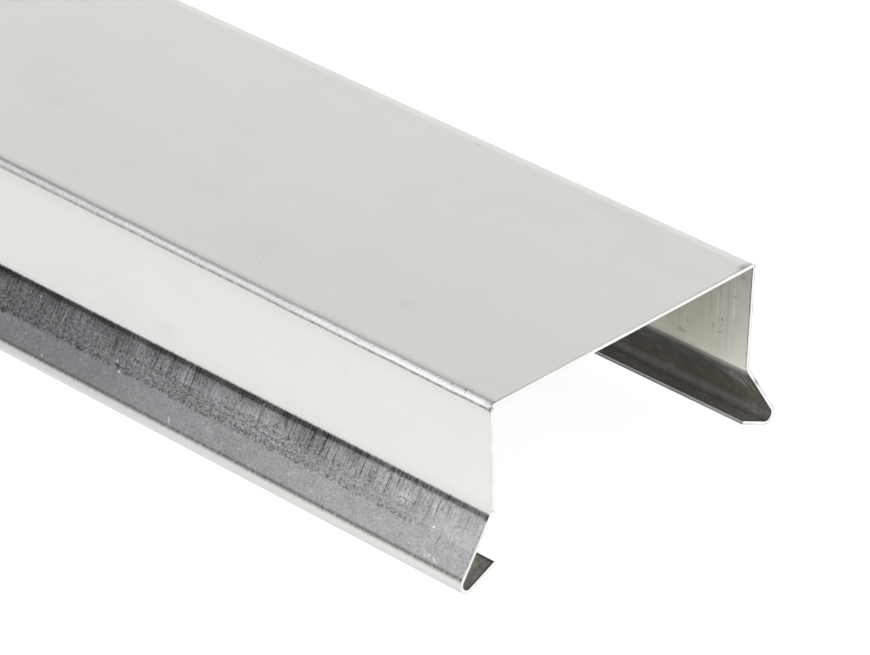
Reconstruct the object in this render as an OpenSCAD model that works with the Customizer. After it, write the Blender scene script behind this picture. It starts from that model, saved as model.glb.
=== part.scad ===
// Fascia cap: one strip of bare aluminium sheet folded into a long channel.
// A flat web lies on top, two short legs hang from it, each leg kicks outward
// at its foot, and each kick ends in a lip folded back under it and inward.
// +X runs along the cap, +Y across it, +Z up. The cap stands on its two hems:
// the origin is on that plane, at the middle of its length and width.

/* [Sheet] */
// Thickness of the sheet (0.032 inch)
sheet_t = 0.81; // [0.5:0.01:1.2]
// Length of the cap (10 feet)
cap_len = 3048; // [600:1:6096]

/* [Web] */
// Width of the web over its two sharp outer corners (3 inches)
web_w = 76.2; // [50:0.1:150]
// Inside radius of the fold between web and leg
fold_r = 0.3; // [0.1:0.05:1.5]

/* [Legs] */
// Outside height of a leg, measured along it from the web to the crease
leg_len = 23.8; // [12:0.1:50]
// Angle by which each leg leans inward, from vertical
leg_lean = 1.9; // [0:0.1:4]
// Inside radius of the crease between leg and kick
crease_r = 2; // [0.3:0.1:3]

/* [Drip kicks] */
// Inside length of a kick, from the crease to the sharp corner of the hem
kick_len = 20; // [15:0.1:35]
// Angle by which each kick flares outward, from vertical
kick_flare = 33.4; // [20:0.1:45]
// Inside radius of the hem at the foot of a kick
hem_r = 1.45; // [0.4:0.05:1.8]

/* [Return lips] */
// Inside length of a lip, from the sharp corner of the hem to its free edge
lip_len = 12.3; // [10:0.1:14]
// Angle at which each lip rises inward, from horizontal
lip_rise = 24.2; // [15:0.1:30]

/* [Smoothness] */
// Largest angle that one flat of a bend turns through
bend_step = 5; // [2:1:15]

/* [Hidden] */

// The section is drawn from the sharp corners of its inside face, from the free
// edge of one lip to the free edge of the other, with the web's top face at 0.
web_half = web_w / 2;
// The sharp outside corner of the crease
crease_out = [web_half - leg_len * sin(leg_lean), -leg_len * cos(leg_lean)];
// Half of the turn at the crease, and the mean slope of leg and kick
crease_half = (leg_lean + kick_flare) / 2;
crease_mean = (kick_flare - leg_lean) / 2;
corner_web = [web_half - sheet_t * (1 / cos(leg_lean) + tan(leg_lean)), -sheet_t];
corner_crease = crease_out - sheet_t / cos(crease_half) * [cos(crease_mean), sin(crease_mean)];
corner_hem = corner_crease + kick_len * [sin(kick_flare), -cos(kick_flare)];
lip_edge = corner_hem + lip_len * [-cos(lip_rise), sin(lip_rise)];
half_path = [corner_web, corner_crease, corner_hem, lip_edge];
half_r = [fold_r, crease_r, hem_r];

function flip(p) = [-p[0], p[1]];
path = concat([for (i = [3:-1:0]) flip(half_path[i])], half_path);
// Inside radius of the bend at each corner of the path
path_r = concat([0], [for (i = [2:-1:0]) half_r[i]], half_r, [0]);
last = len(path) - 1;

function unit(v) = v / norm(v);
function left(u) = [-u[1], u[0]];
function heading(i) = unit(path[i + 1] - path[i]);
// Turn at corner i, positive to the left, where the sheet's outside face lies
function turn(i) =
    let (u = heading(i - 1), v = heading(i))
    atan2(u[0] * v[1] - u[1] * v[0], u[0] * v[0] + u[1] * v[1]);
// Radius of the inside face in bend i: in a left turn it is the far face
function face_r(i) = path_r[i] + (turn(i) > 0 ? sheet_t : 0);
function bend_start(i) = path[i] - face_r(i) * tan(abs(turn(i)) / 2) * heading(i - 1);
function bend_centre(i) = bend_start(i) + sign(turn(i)) * face_r(i) * left(heading(i - 1));
// Points of bend i on the face that is d away from the inside face
function bend_points(i, d) =
    let (s = sign(turn(i)), n = ceil(abs(turn(i)) / bend_step),
         u = -s * left(heading(i - 1)), a = atan2(u[1], u[0]), r = face_r(i) - s * d)
    [for (k = [0:n]) bend_centre(i) + r * [cos(a + turn(i) * k / n), sin(a + turn(i) * k / n)]];
// One whole face of the sheet, from lip edge to lip edge
function face_points(d) = concat(
    [path[0] + d * left(heading(0))],
    [for (i = [1:last - 1]) each bend_points(i, d)],
    [path[last] + d * left(heading(last - 1))]);
function reversed(v) = [for (i = [len(v) - 1:-1:0]) v[i]];

// Height of the cap, from the plane of the two hems to the top of the web
hem_centre = bend_centre(last - 1);
total_h = hem_r + sheet_t - hem_centre[1];

// The folded section, seen from the +X end, standing on its hems
module section() {
    translate([0, total_h])
    polygon(concat(face_points(0), reversed(face_points(sheet_t))));
}

module fascia_cap() {
    color([0.80, 0.81, 0.80])
    translate([-cap_len / 2, 0, 0])
    rotate([90, 0, 90])
    linear_extrude(height = cap_len) section();
}

fascia_cap();
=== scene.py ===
import math

import bpy
import numpy as np
from mathutils import Matrix, Vector


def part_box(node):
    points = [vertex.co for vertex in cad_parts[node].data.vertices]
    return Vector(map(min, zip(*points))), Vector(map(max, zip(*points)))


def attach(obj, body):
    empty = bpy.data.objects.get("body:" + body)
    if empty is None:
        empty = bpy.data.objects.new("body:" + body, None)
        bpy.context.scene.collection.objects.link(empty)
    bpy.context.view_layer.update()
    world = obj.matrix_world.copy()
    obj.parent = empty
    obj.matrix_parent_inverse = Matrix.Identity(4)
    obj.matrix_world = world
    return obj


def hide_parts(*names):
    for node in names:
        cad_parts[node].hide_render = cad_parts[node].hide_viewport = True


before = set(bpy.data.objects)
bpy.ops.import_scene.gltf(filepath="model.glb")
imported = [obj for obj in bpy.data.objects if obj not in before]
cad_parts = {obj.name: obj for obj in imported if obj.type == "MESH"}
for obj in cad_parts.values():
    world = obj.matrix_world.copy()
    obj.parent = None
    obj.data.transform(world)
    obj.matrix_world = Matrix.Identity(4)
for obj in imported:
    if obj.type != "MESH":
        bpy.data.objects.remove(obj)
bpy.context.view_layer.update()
part_lo, part_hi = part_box("fascia_cap")
TOP = part_hi.z
END_X = part_hi.x
FAR_X = part_lo.x
MM = 0.001

# ------------------------------------------------------------------ section
# The same construction as the CAD section, in metres.
SHEET_T = 0.81 * MM
WEB_W = 76.2 * MM
FOLD_R = 0.3 * MM
LEG_LEN = 23.8 * MM
LEG_LEAN = math.radians(1.9)
CREASE_R = 2.0 * MM
KICK_LEN = 20.0 * MM
KICK_FLARE = math.radians(33.4)
HEM_R = 1.45 * MM
LIP_LEN = 12.3 * MM
LIP_RISE = math.radians(24.2)


def left(h):
    return np.array([-math.sin(h), math.cos(h)])


def ahead(h):
    return np.array([math.cos(h), math.sin(h)])


def section_corners():
    half = WEB_W / 2
    crease_out = np.array([half - LEG_LEN * math.sin(LEG_LEAN), -LEG_LEN * math.cos(LEG_LEAN)])
    crease_half = (LEG_LEAN + KICK_FLARE) / 2
    crease_mean = (KICK_FLARE - LEG_LEAN) / 2
    web = np.array([half - SHEET_T * (1 / math.cos(LEG_LEAN) + math.tan(LEG_LEAN)), -SHEET_T])
    crease = crease_out - SHEET_T / math.cos(crease_half) * np.array([math.cos(crease_mean), math.sin(crease_mean)])
    hem = crease + KICK_LEN * np.array([math.sin(KICK_FLARE), -math.cos(KICK_FLARE)])
    lip = hem + LIP_LEN * np.array([-math.cos(LIP_RISE), math.sin(LIP_RISE)])
    far = [web, crease, hem, lip]
    near = [p * np.array([-1, 1]) for p in reversed(far)]
    radii = [0, HEM_R, CREASE_R, FOLD_R, FOLD_R, CREASE_R, HEM_R, 0]
    return near + far, radii


def section_stations():
    """Points of the inside face with their heading and the developed distance at mid-thickness, from the near lip to the far lip."""
    corners, radii = section_corners()
    n = len(corners)
    head = [math.atan2(*(corners[i + 1] - corners[i])[::-1]) for i in range(n - 1)]
    turns = [0.0] * n
    bends = [None] * n
    for i in range(1, n - 1):
        turn = (head[i] - head[i - 1] + math.pi) % (2 * math.pi) - math.pi
        sign = 1 if turn > 0 else -1
        face_r = radii[i] + (SHEET_T if turn > 0 else 0)
        cut = face_r * math.tan(abs(turn) / 2)
        start = corners[i] - cut * ahead(head[i - 1])
        centre = start + sign * face_r * left(head[i - 1])
        bends[i] = (start, centre, face_r, sign, turn)
        turns[i] = turn
    steps_arc = {1: 20, 2: 8, 3: 8, 4: 8, 5: 8, 6: 20}
    spacing = {0: 2.0, 1: 0.8, 2: 2.6, 3: 3.2, 4: 2.6, 5: 0.8, 6: 2.0}
    out = []
    marks = []
    s = 0.0
    here = corners[0]
    for i in range(n - 1):
        if i + 1 < n - 1:
            stop = bends[i + 1][0]
        else:
            stop = corners[-1]
        length = float(np.linalg.norm(stop - here))
        h = head[i]
        inner = [0.1 * MM, 0.35 * MM]
        count = max(2, round((length - 2 * inner[1]) / (spacing[i] * MM)))
        at = [0.0] + inner[: 2] + list(np.linspace(inner[1], length - inner[1], count + 1))[1:-1] + [length - inner[1], length - inner[0], length]
        for k, a in enumerate(at):
            if k == 0 and i > 0:
                continue
            out.append((here + a * ahead(h), h, s + a))
        s += length
        marks.append(s)
        if i + 1 < n - 1:
            start, centre, face_r, sign, turn = bends[i + 1]
            steps = steps_arc[i + 1]
            mid_r = face_r - sign * SHEET_T / 2
            for k in range(1, steps + 1):
                hh = h + turn * k / steps
                out.append((centre - sign * face_r * left(hh), hh, s + mid_r * abs(turn) * k / steps))
            s += mid_r * abs(turn)
            marks.append(s)
            here = centre - sign * face_r * left(head[i + 1])
    return out, marks


STATIONS, MARKS = section_stations()
DEV = MARKS[-1]
# Zone borders by distance from the middle of the web, along the developed width.
W_FOLD0, W_FOLD1, W_CREASE0, W_CREASE1, W_HEM0, W_HEM1, W_EDGE = [
    m - DEV / 2 for m in MARKS[6:13]
]
W_DIE = W_CREASE1 + 0.600 * (W_HEM0 - W_CREASE1)

P_IN = np.array([p for p, h, s in STATIONS])
P_IN[:, 1] += TOP
NRM = np.array([left(h) for p, h, s in STATIONS])
TAN = np.array([ahead(h) for p, h, s in STATIONS])
S = np.array([s for p, h, s in STATIONS])
W = S - DEV / 2

# ------------------------------------------------------------------ relief
rng = np.random.default_rng(71)


def smooth_noise(seed, step, periods=4096):
    """A smooth 1-D noise of unit height, sampled by distance in metres."""
    r = np.random.default_rng(seed)
    table = r.uniform(-1, 1, periods)

    def at(x):
        q = np.asarray(x, float) / step + 1000.0
        i = np.floor(q).astype(int)
        f = q - i
        f = f * f * (3 - 2 * f)
        return table[i % periods] * (1 - f) + table[(i + 1) % periods] * f

    return at


def bump_at(a, centre, width):
    return np.exp(-(((a - centre) / width) ** 2))


def step_at(a, edge, width):
    q = np.clip((a - edge) / width + 0.5, 0, 1)
    return q * q * (3 - 2 * q)


N_LONG = [smooth_noise(100 + i, 0.09 + 0.037 * i) for i in range(6)]
N_FOLD = [smooth_noise(200 + i, 0.0042) for i in range(2)]
N_FOLD2 = [smooth_noise(210 + i, 0.017) for i in range(2)]
N_DIE = [smooth_noise(220 + i, 0.0035) for i in range(2)]
N_DIE2 = [smooth_noise(230 + i, 0.011) for i in range(2)]
N_CREASE = [smooth_noise(240 + i, 0.008) for i in range(2)]


def sheet_wave(x, w):
    """How far the whole sheet stands off its true place, along its normal; x and w broadcast."""
    free = 1 - step_at(np.abs(w), W_HEM0 - 2 * MM, 8 * MM)
    web = 1 - step_at(np.abs(w), W_FOLD0 - 9 * MM, 16 * MM)
    d = 0.045 * MM * N_LONG[0](x) * np.cos(w / (0.5 * WEB_W) * 1.35)
    d = d + 0.035 * MM * N_LONG[1](x + 0.6 * w) * web
    d = d + 0.030 * MM * N_LONG[2](x - 0.8 * w + 2) * np.sin(w / (0.5 * WEB_W) * 2.4) * web
    d = d + 0.020 * MM * N_LONG[3](x + 5) * np.sign(w) * (1 - web)
    for side in (0, 1):
        on = (w > 0) if side else (w < 0)
        fold = bump_at(np.abs(w), 0.5 * (W_FOLD0 + W_FOLD1), 1.1 * MM)
        d = d + on * fold * MM * (0.014 * N_FOLD[side](x) + 0.016 * N_FOLD2[side](x))
        crease = bump_at(np.abs(w), 0.5 * (W_CREASE0 + W_CREASE1), 2.0 * MM)
        d = d + on * crease * MM * 0.012 * N_CREASE[side](x)
    return d * free


def outer_relief(x, w):
    """Marks that only the outside face carries: the line where the die's shoulder pressed the kick, and the drag line above the hem."""
    d = 0.0 * (x + w)
    for side in (0, 1):
        on = (w > 0) if side else (w < 0)
        line = W_DIE + 0.10 * MM * N_DIE2[side](x)
        strong = np.clip(0.55 + 0.75 * N_DIE[side](x), 0.1, 1.0)
        d = d - on * 0.030 * MM * strong * bump_at(np.abs(w), line, 0.75 * MM)
        d = d - on * 0.022 * MM * bump_at(np.abs(w), W_HEM0 - 0.9 * MM, 0.7 * MM)
        d = d - on * 0.020 * MM * bump_at(np.abs(w), W_CREASE1 + 0.5 * MM, 0.6 * MM)
    return d


# ------------------------------------------------------------------ sheet mesh
def stations_along():
    """X of each ring: close together at the near end, where the forming marks are finest, and wider along the rest."""
    near, far = END_X, FAR_X
    xs = list(np.arange(0.6 * MM, 0.165, 1.3 * MM))
    xs += list(np.arange(xs[-1] + 4 * MM, 0.30, 4 * MM))
    xs += list(np.arange(xs[-1] + 18 * MM, 0.7, 18 * MM))
    rest = (near - far) - 0.06
    xs += list(np.linspace(xs[-1], rest, 64))[1:]
    xs += list(np.arange(xs[-1] + 6 * MM, (near - far) - 1 * MM, 6 * MM))
    xs += [(near - far) - 0.6 * MM]
    return near - np.array(xs)


def texture_places(faces, ring, out_i, rings, m, count):
    """Each face corner's place on a square map of the whole sheet, unrolled: more of the map goes to the near end, the folds and the kicks than to the plain stretches. The two cut faces lie above it as narrow strips."""
    px = 1 / 1024
    no = len(out_i)

    def across(w, out):
        w = abs(w) / MM
        stops = ((0, 2.0), (30, 2.0), (36, 6.0), (37, 11.0), (38.1, 11.0), (39.6, 5.0), (42, 2.2), (58, 2.4), (60, 6.5), (63, 8.0), (70, 6.6), (76, 7.0), (78, 4.6), (80.5, 3.6), (84, 2.2), (88, 2.6)) if out else ((0, 0.8), (37, 0.9), (39, 2.6), (58, 2.6), (61, 4.0), (66, 3.4), (76, 3.0), (80, 2.4), (88, 2.8))
        return float(np.interp(w, [a for a, b in stops], [b for a, b in stops]))

    steps = []
    for k in range(m):
        a, b = ring[k], ring[(k + 1) % m]
        if a[1] == b[1] and a[1] in ("o", "i"):
            s0, s1 = S[a[0]], S[b[0]]
            steps.append(abs(s1 - s0) / MM * across(0.5 * (s0 + s1) - DEV / 2, a[1] == "o"))
        elif a[0] == b[0] and a[1] == 1:
            steps.append(3.0)
        else:
            steps.append(0.8)
    v = np.concatenate([[0.0], np.cumsum(steps)])
    v = 2 * px + v * ((1024 - 26) * px / v[-1])

    def along(e):
        e = e / MM
        stops = ((0, 2.75), (150, 2.75), (175, 0.8), (290, 0.7), (330, 0.145), (2860, 0.145), (2900, 0.5), (3048, 0.6))
        return float(np.interp(e, [a for a, b in stops], [b for a, b in stops]))

    xs = [float(np.mean([p[0] for p in r[0]])) for r in rings]
    steps = []
    for r in range(count - 1):
        d = abs(xs[r + 1] - xs[r]) / MM
        steps.append(max(1.0, d * along(END_X - 0.5 * (xs[r] + xs[r + 1]))))
    u = np.concatenate([[0.0], np.cumsum(steps)])
    u = 2 * px + u * (1020 * px / u[-1])

    plain = []
    for tag, kind in ring:
        if tag in ("far", "near"):
            plain.append((DEV if tag == "far" else 0.0, [SHEET_T, SHEET_T, 0, 0][kind if tag == "far" else 3 - kind]))
        else:
            plain.append((S[tag], SHEET_T if kind == "o" else 0.0))
    trim = 0.3 * 0.06 * MM
    out = []
    for f in faces:
        r = [i // m for i in f]
        k = [i % m for i in f]
        if min(r) != max(r):
            for ri, ki in zip(r, k):
                last = ki == 0 and max(k) == m - 1
                out.append((u[ri], v[m if last else ki]))
        else:
            row = 1024 - 20 if r[0] == 0 else 1024 - 9
            for ki in k:
                s_, d = plain[ki]
                tag, kind = ring[ki]
                if tag == "far" and kind in (0, 3):
                    s_ -= trim
                if tag == "near" and kind in (0, 3):
                    s_ += trim
                out.append(((4 + 1014 * s_ / DEV) * px, (row + 6 * d / SHEET_T) * px))
    return np.array(out)


def build_sheet():
    n = len(STATIONS)
    xs = stations_along()
    edge = 0.06 * MM      # the rounding of every cut edge
    q = 0.3 * edge
    first, last = 0, n - 1

    # ring recipe: list of (station, offset d, extra along the path, face kind)
    out_i = list(range(1, n - 1))
    ring = [(i, "o") for i in out_i] + [("far", k) for k in range(4)] + [(i, "i") for i in reversed(out_i)] + [("near", k) for k in range(4)]
    m = len(ring)

    def ring_points(x, inset=0.0, nx=0.0, ragged=0.0):
        w = W
        wave = sheet_wave(np.array(x), w)
        rel = outer_relief(np.array(x), w)
        e = 1e-5
        dwx = (sheet_wave(np.array(x + e), w) - sheet_wave(np.array(x - e), w)) / (2 * e)
        dws = (sheet_wave(np.array(x), w + e) - sheet_wave(np.array(x), w - e)) / (2 * e)
        drx = (outer_relief(np.array(x + e), w) - outer_relief(np.array(x - e), w)) / (2 * e)
        drs = (outer_relief(np.array(x), w + e) - outer_relief(np.array(x), w - e)) / (2 * e)
        pts, nor, uv = [], [], []

        def add(i, d, along, dirn, tan=0.0, past=0.0):
            p = P_IN[i] + NRM[i] * (d + wave[i]) + TAN[i] * along
            pts.append((x, p[0], p[1]))
            vec = dirn * np.array([0, NRM[i][0], NRM[i][1]]) + tan * np.array([0, TAN[i][0], TAN[i][1]])
            vec = vec / (np.linalg.norm(vec) + 1e-12)
            sx = dwx[i] + (drx[i] if dirn > 0.5 else 0)
            ss = dws[i] + (drs[i] if dirn > 0.5 else 0)
            if abs(dirn) > 0.9:
                vec = vec - dirn * (sx * np.array([1.0, 0, 0]) + ss * np.array([0, TAN[i][0], TAN[i][1]]))
            vec = vec * math.sqrt(max(0.0, 1 - nx * nx)) + np.array([nx, 0, 0])
            nor.append(vec / np.linalg.norm(vec))
            uv.append((x, S[i] + along + past))

        for tag, k in ring:
            if k == "o":
                add(tag, SHEET_T - inset + rel[tag], 0, 1.0)
            elif k == "i":
                add(tag, inset, 0, -1.0)
            else:
                i = last if tag == "far" else first
                sg = 1.0 if tag == "far" else -1.0
                order = [0, 1, 2, 3] if tag == "far" else [3, 2, 1, 0]
                kk = order[k]
                d = [SHEET_T - q, SHEET_T - edge, edge, q][kk]
                d = min(max(d, inset), SHEET_T - inset)
                al = [-q, 0, 0, -q][kk] * sg
                dn = [0.7, 0.0, 0.0, -0.7][kk]
                tn = [0.7, 1.0, 1.0, 0.7][kk] * sg
                add(i, d, al, dn, tn, sg * (SHEET_T - d))
        return pts, nor, uv

    rings = []
    sharp_end = [
        (END_X, edge, 1.0),
        (END_X - q, q, 0.7),
        (END_X - edge, 0.0, 0.0),
    ]
    for x, inset, nx in sharp_end:
        rings.append(ring_points(x, inset, nx))
    for x in xs:
        rings.append(ring_points(float(x)))
    for x, inset, nx in reversed([(FAR_X, edge, -1.0), (FAR_X + q, q, -0.7), (FAR_X + edge, 0.0, 0.0)]):
        rings.append(ring_points(x, inset, nx))

    # a sheared end isn't a perfect plane
    ragged = smooth_noise(300, 0.0016)
    ragged2 = smooth_noise(301, 0.009)
    for r_i, sgn in ((0, -1), (len(rings) - 1, 1)):
        pts, nor, uv = rings[r_i]
        for k, (tag, kind) in enumerate(ring):
            v = uv[k][1]
            a = abs(0.010 * MM * ragged(v) + 0.012 * MM * ragged2(v))
            pts[k] = (pts[k][0] + sgn * a, pts[k][1], pts[k][2])

    verts = np.array([p for r in rings for p in r[0]])
    norms = np.array([p for r in rings for p in r[1]])
    uvs = np.array([p for r in rings for p in r[2]])
    count = len(rings)
    no = len(out_i)
    faces, mats, face_uv = [], [], []
    for r in range(count - 1):
        a, b = r * m, (r + 1) * m
        end_ring = r < 2 or r >= count - 3
        for k in range(m):
            k2 = (k + 1) % m
            faces.append((a + k, a + k2, b + k2, b + k))
            if k < no - 1:
                mat = 3 if min(abs(W[out_i[k]]), abs(W[out_i[k + 1]])) > W_CREASE0 - 1e-6 else 0
            elif no - 1 + 5 <= k < no - 1 + 5 + no - 1:
                mat = 1
            else:
                mat = 2
            if end_ring:
                mat = 2
            mats.append(mat)
            face_uv.append(None)
    far0, in0, near0 = no, no + 4, 2 * no + 4

    def cap(base, flip, x):
        def face(idx, ds):
            f = [base + i for i in idx]
            u = [(x + d, uvs[i][1]) for i, d in zip(f, ds)]
            if flip:
                f, u = f[::-1], u[::-1]
            faces.append(tuple(f))
            mats.append(2)
            face_uv.append(u)

        t = SHEET_T
        for j in range(no - 1):
            o0, o1 = j, j + 1
            i0, i1 = in0 + no - 1 - j, in0 + no - 2 - j
            face((o0, o1, i1, i0)[::-1], (t, t, 0, 0)[::-1])
        # lip ends
        face((no - 1, far0, far0 + 1, far0 + 2, far0 + 3, in0)[::-1], (t, t, t, 0, 0, 0)[::-1])
        face((in0 + no - 1, near0, near0 + 1, near0 + 2, near0 + 3, 0)[::-1], (0, 0, 0, t, t, t)[::-1])

    cap(0, False, END_X)
    cap((count - 1) * m, True, FAR_X)

    mesh = bpy.data.meshes.new("fascia_cap_sheet")
    mesh.from_pydata([tuple(map(float, v)) for v in verts], [], faces)
    mesh.polygons.foreach_set("material_index", np.array(mats, np.int32))
    mesh.polygons.foreach_set("use_smooth", np.ones(len(faces), bool))
    layer = mesh.uv_layers.new(name="sheet")
    loop_v = np.zeros(len(mesh.loops), np.int32)
    mesh.loops.foreach_get("vertex_index", loop_v)
    co = uvs[loop_v].astype(np.float32)
    starts = np.zeros(len(faces), np.int32)
    mesh.polygons.foreach_get("loop_start", starts)
    for fi, u in enumerate(face_uv):
        if u is not None:
            co[starts[fi]: starts[fi] + len(u)] = u
    layer.uv.foreach_set("vector", co.ravel())
    flat = mesh.uv_layers.new(name="OFBake")
    flat.uv.foreach_set("vector", texture_places(faces, ring, out_i, rings, m, count).astype(np.float32).ravel())
    mesh.uv_layers.active = mesh.uv_layers["sheet"]
    mesh.uv_layers["sheet"].active_render = True
    mesh.validate()
    mesh.update()
    mesh.normals_split_custom_set_from_vertices([tuple(map(float, v)) for v in norms])
    return mesh


mesh = build_sheet()
sheet = bpy.data.objects.new("fascia_cap_sheet", mesh)
bpy.context.scene.collection.objects.link(sheet)
tris = sum(len(p.vertices) - 2 for p in mesh.polygons)
print("sheet triangles", tris, "stations", len(STATIONS), "developed width mm", round(DEV * 1000, 2))


# ------------------------------------------------------------------ node helpers
class Tree:
    def __init__(self, tree):
        self.t = tree
        self.nodes = tree.nodes
        self.links = tree.links

    def node(self, kind, inputs=None, **props):
        nd = self.nodes.new(kind)
        for k, v in props.items():
            setattr(nd, k, v)
        for k, v in (inputs or {}).items():
            self.set(nd.inputs[k], v)
        return nd

    def set(self, socket, v):
        if isinstance(v, bpy.types.NodeSocket):
            self.links.new(v, socket)
        elif v is not None:
            if not isinstance(v, (int, float)) and len(socket.default_value) == 3:
                v = tuple(v)[:3]
            socket.default_value = v

    def math(self, op, a, b=None, c=None, clamp=False):
        nd = self.node("ShaderNodeMath", operation=op, use_clamp=clamp)
        self.set(nd.inputs[0], a)
        if b is not None:
            self.set(nd.inputs[1], b)
        if c is not None:
            self.set(nd.inputs[2], c)
        return nd.outputs[0]

    def add(self, *v):
        out = v[0]
        for x in v[1:]:
            out = self.math("ADD", out, x)
        return out

    def mul(self, *v):
        out = v[0]
        for x in v[1:]:
            out = self.math("MULTIPLY", out, x)
        return out

    def sub(self, a, b):
        return self.math("SUBTRACT", a, b)

    def span(self, v, lo, hi, to0=0.0, to1=1.0, smooth=True):
        nd = self.node("ShaderNodeMapRange", interpolation_type="SMOOTHSTEP" if smooth else "LINEAR")
        nd.clamp = True
        self.set(nd.inputs[0], v)
        self.set(nd.inputs[1], lo)
        self.set(nd.inputs[2], hi)
        self.set(nd.inputs[3], to0)
        self.set(nd.inputs[4], to1)
        return nd.outputs[0]

    def curve(self, v, *stops):
        """A value that runs straight from stop to stop; each stop is (position, value), values under 2."""
        lo, hi = stops[0][0], stops[-1][0]
        part = self.span(v, lo, hi, smooth=False)
        nd = self.node("ShaderNodeValToRGB")
        ramp = nd.color_ramp
        ramp.interpolation = "LINEAR"
        while len(ramp.elements) < len(stops):
            ramp.elements.new(0.5)
        for el, (at, val) in zip(ramp.elements, sorted(stops)):
            el.position = (at - lo) / (hi - lo)
        for el, (at, val) in zip(ramp.elements, sorted(stops)):
            el.color = (0.5, 0.5, 0.5, val / 2)
        self.set(nd.inputs[0], part)
        return self.mul(nd.outputs["Alpha"], 2.0)

    def band(self, v, a, b, soft):
        """1 between a and b, falling to 0 over soft on each side."""
        return self.mul(self.span(v, a - soft / 2, a + soft / 2), self.span(v, b - soft / 2, b + soft / 2, 1.0, 0.0))

    def near(self, v, centre, width):
        """1 at centre, falling smoothly to 0 at width away."""
        d = self.math("ABSOLUTE", self.sub(v, centre))
        return self.span(d, 0.0, width, 1.0, 0.0)

    def vec(self, x, y, z=0.0):
        nd = self.node("ShaderNodeCombineXYZ")
        for s_, v in zip(nd.inputs, (x, y, z)):
            self.set(s_, v)
        return nd.outputs[0]

    def noise(self, vec, scale=1.0, detail=2.0, rough=0.5, dims="2D", distortion=0.0, normalize=True):
        nd = self.node("ShaderNodeTexNoise", noise_dimensions=dims)
        self.set(nd.inputs["Vector"], vec)
        nd.inputs["Scale"].default_value = scale
        nd.inputs["Detail"].default_value = detail
        nd.inputs["Roughness"].default_value = rough
        nd.inputs["Distortion"].default_value = distortion
        return nd.outputs["Fac"]

    def voronoi(self, vec, scale=1.0, feature="F1", rand=1.0, dims="2D"):
        nd = self.node("ShaderNodeTexVoronoi", feature=feature, voronoi_dimensions=dims)
        self.set(nd.inputs["Vector"], vec)
        nd.inputs["Scale"].default_value = scale
        nd.inputs["Randomness"].default_value = rand
        return nd

    def mix(self, fac, a, b, kind="RGBA", blend="MIX"):
        nd = self.node("ShaderNodeMix", data_type=kind)
        if kind == "RGBA":
            nd.blend_type = blend
            self.set(nd.inputs[0], fac)
            self.set(nd.inputs[6], a)
            self.set(nd.inputs[7], b)
            return nd.outputs[2]
        self.set(nd.inputs[0], fac)
        self.set(nd.inputs[2], a)
        self.set(nd.inputs[3], b)
        return nd.outputs[0]

    def local(self, at, ce, cs, re, rs, rot):
        """at, moved so that an ellipse round (ce, cs), with half-sizes re and rs, all in mm, becomes the unit circle."""
        nd = self.node("ShaderNodeMapping", vector_type="TEXTURE")
        self.set(nd.inputs["Vector"], at)
        nd.inputs["Location"].default_value = (ce * MM, cs * MM, 0)
        nd.inputs["Rotation"].default_value = (0, 0, math.radians(rot))
        nd.inputs["Scale"].default_value = (re * MM, rs * MM, 1)
        length = self.node("ShaderNodeVectorMath", {0: nd.outputs[0]}, operation="LENGTH")
        return length.outputs["Value"]

    def blob(self, at, ce, cs, re, rs, rot=0.0, inner=0.3, outer=1.0):
        """1 in the middle of an ellipse, 0 outside it."""
        return self.span(self.local(at, ce, cs, re, rs, rot), inner, outer, 1.0, 0.0)

    def ring(self, at, ce, cs, radius, width):
        """A thin circle line of that radius and half-width, in mm."""
        d = self.math("ABSOLUTE", self.sub(self.local(at, ce, cs, 1.0, 1.0, 0.0), radius))
        return self.span(d, 0.0, width, 1.0, 0.0)

    def shade(self, colour, value):
        """colour times a grey value."""
        nd = self.node("ShaderNodeVectorMath", operation="SCALE")
        self.set(nd.inputs[0], colour)
        self.set(nd.inputs[3], value)
        return nd.outputs[0]


def material(name):
    m = bpy.data.materials.new(name)
    m.use_nodes = True
    t = Tree(m.node_tree)
    bsdf = next(n for n in m.node_tree.nodes if n.type == "BSDF_PRINCIPLED")
    return m, t, bsdf


def sheet_coords(t):
    uv = t.node("ShaderNodeUVMap", uv_map="sheet").outputs[0]
    sep = t.node("ShaderNodeSeparateXYZ", {0: uv})
    x, s = sep.outputs[0], sep.outputs[1]
    w = t.math("ABSOLUTE", t.sub(s, DEV / 2))
    side = t.math("GREATER_THAN", s, DEV / 2)
    return x, s, w, side


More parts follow.
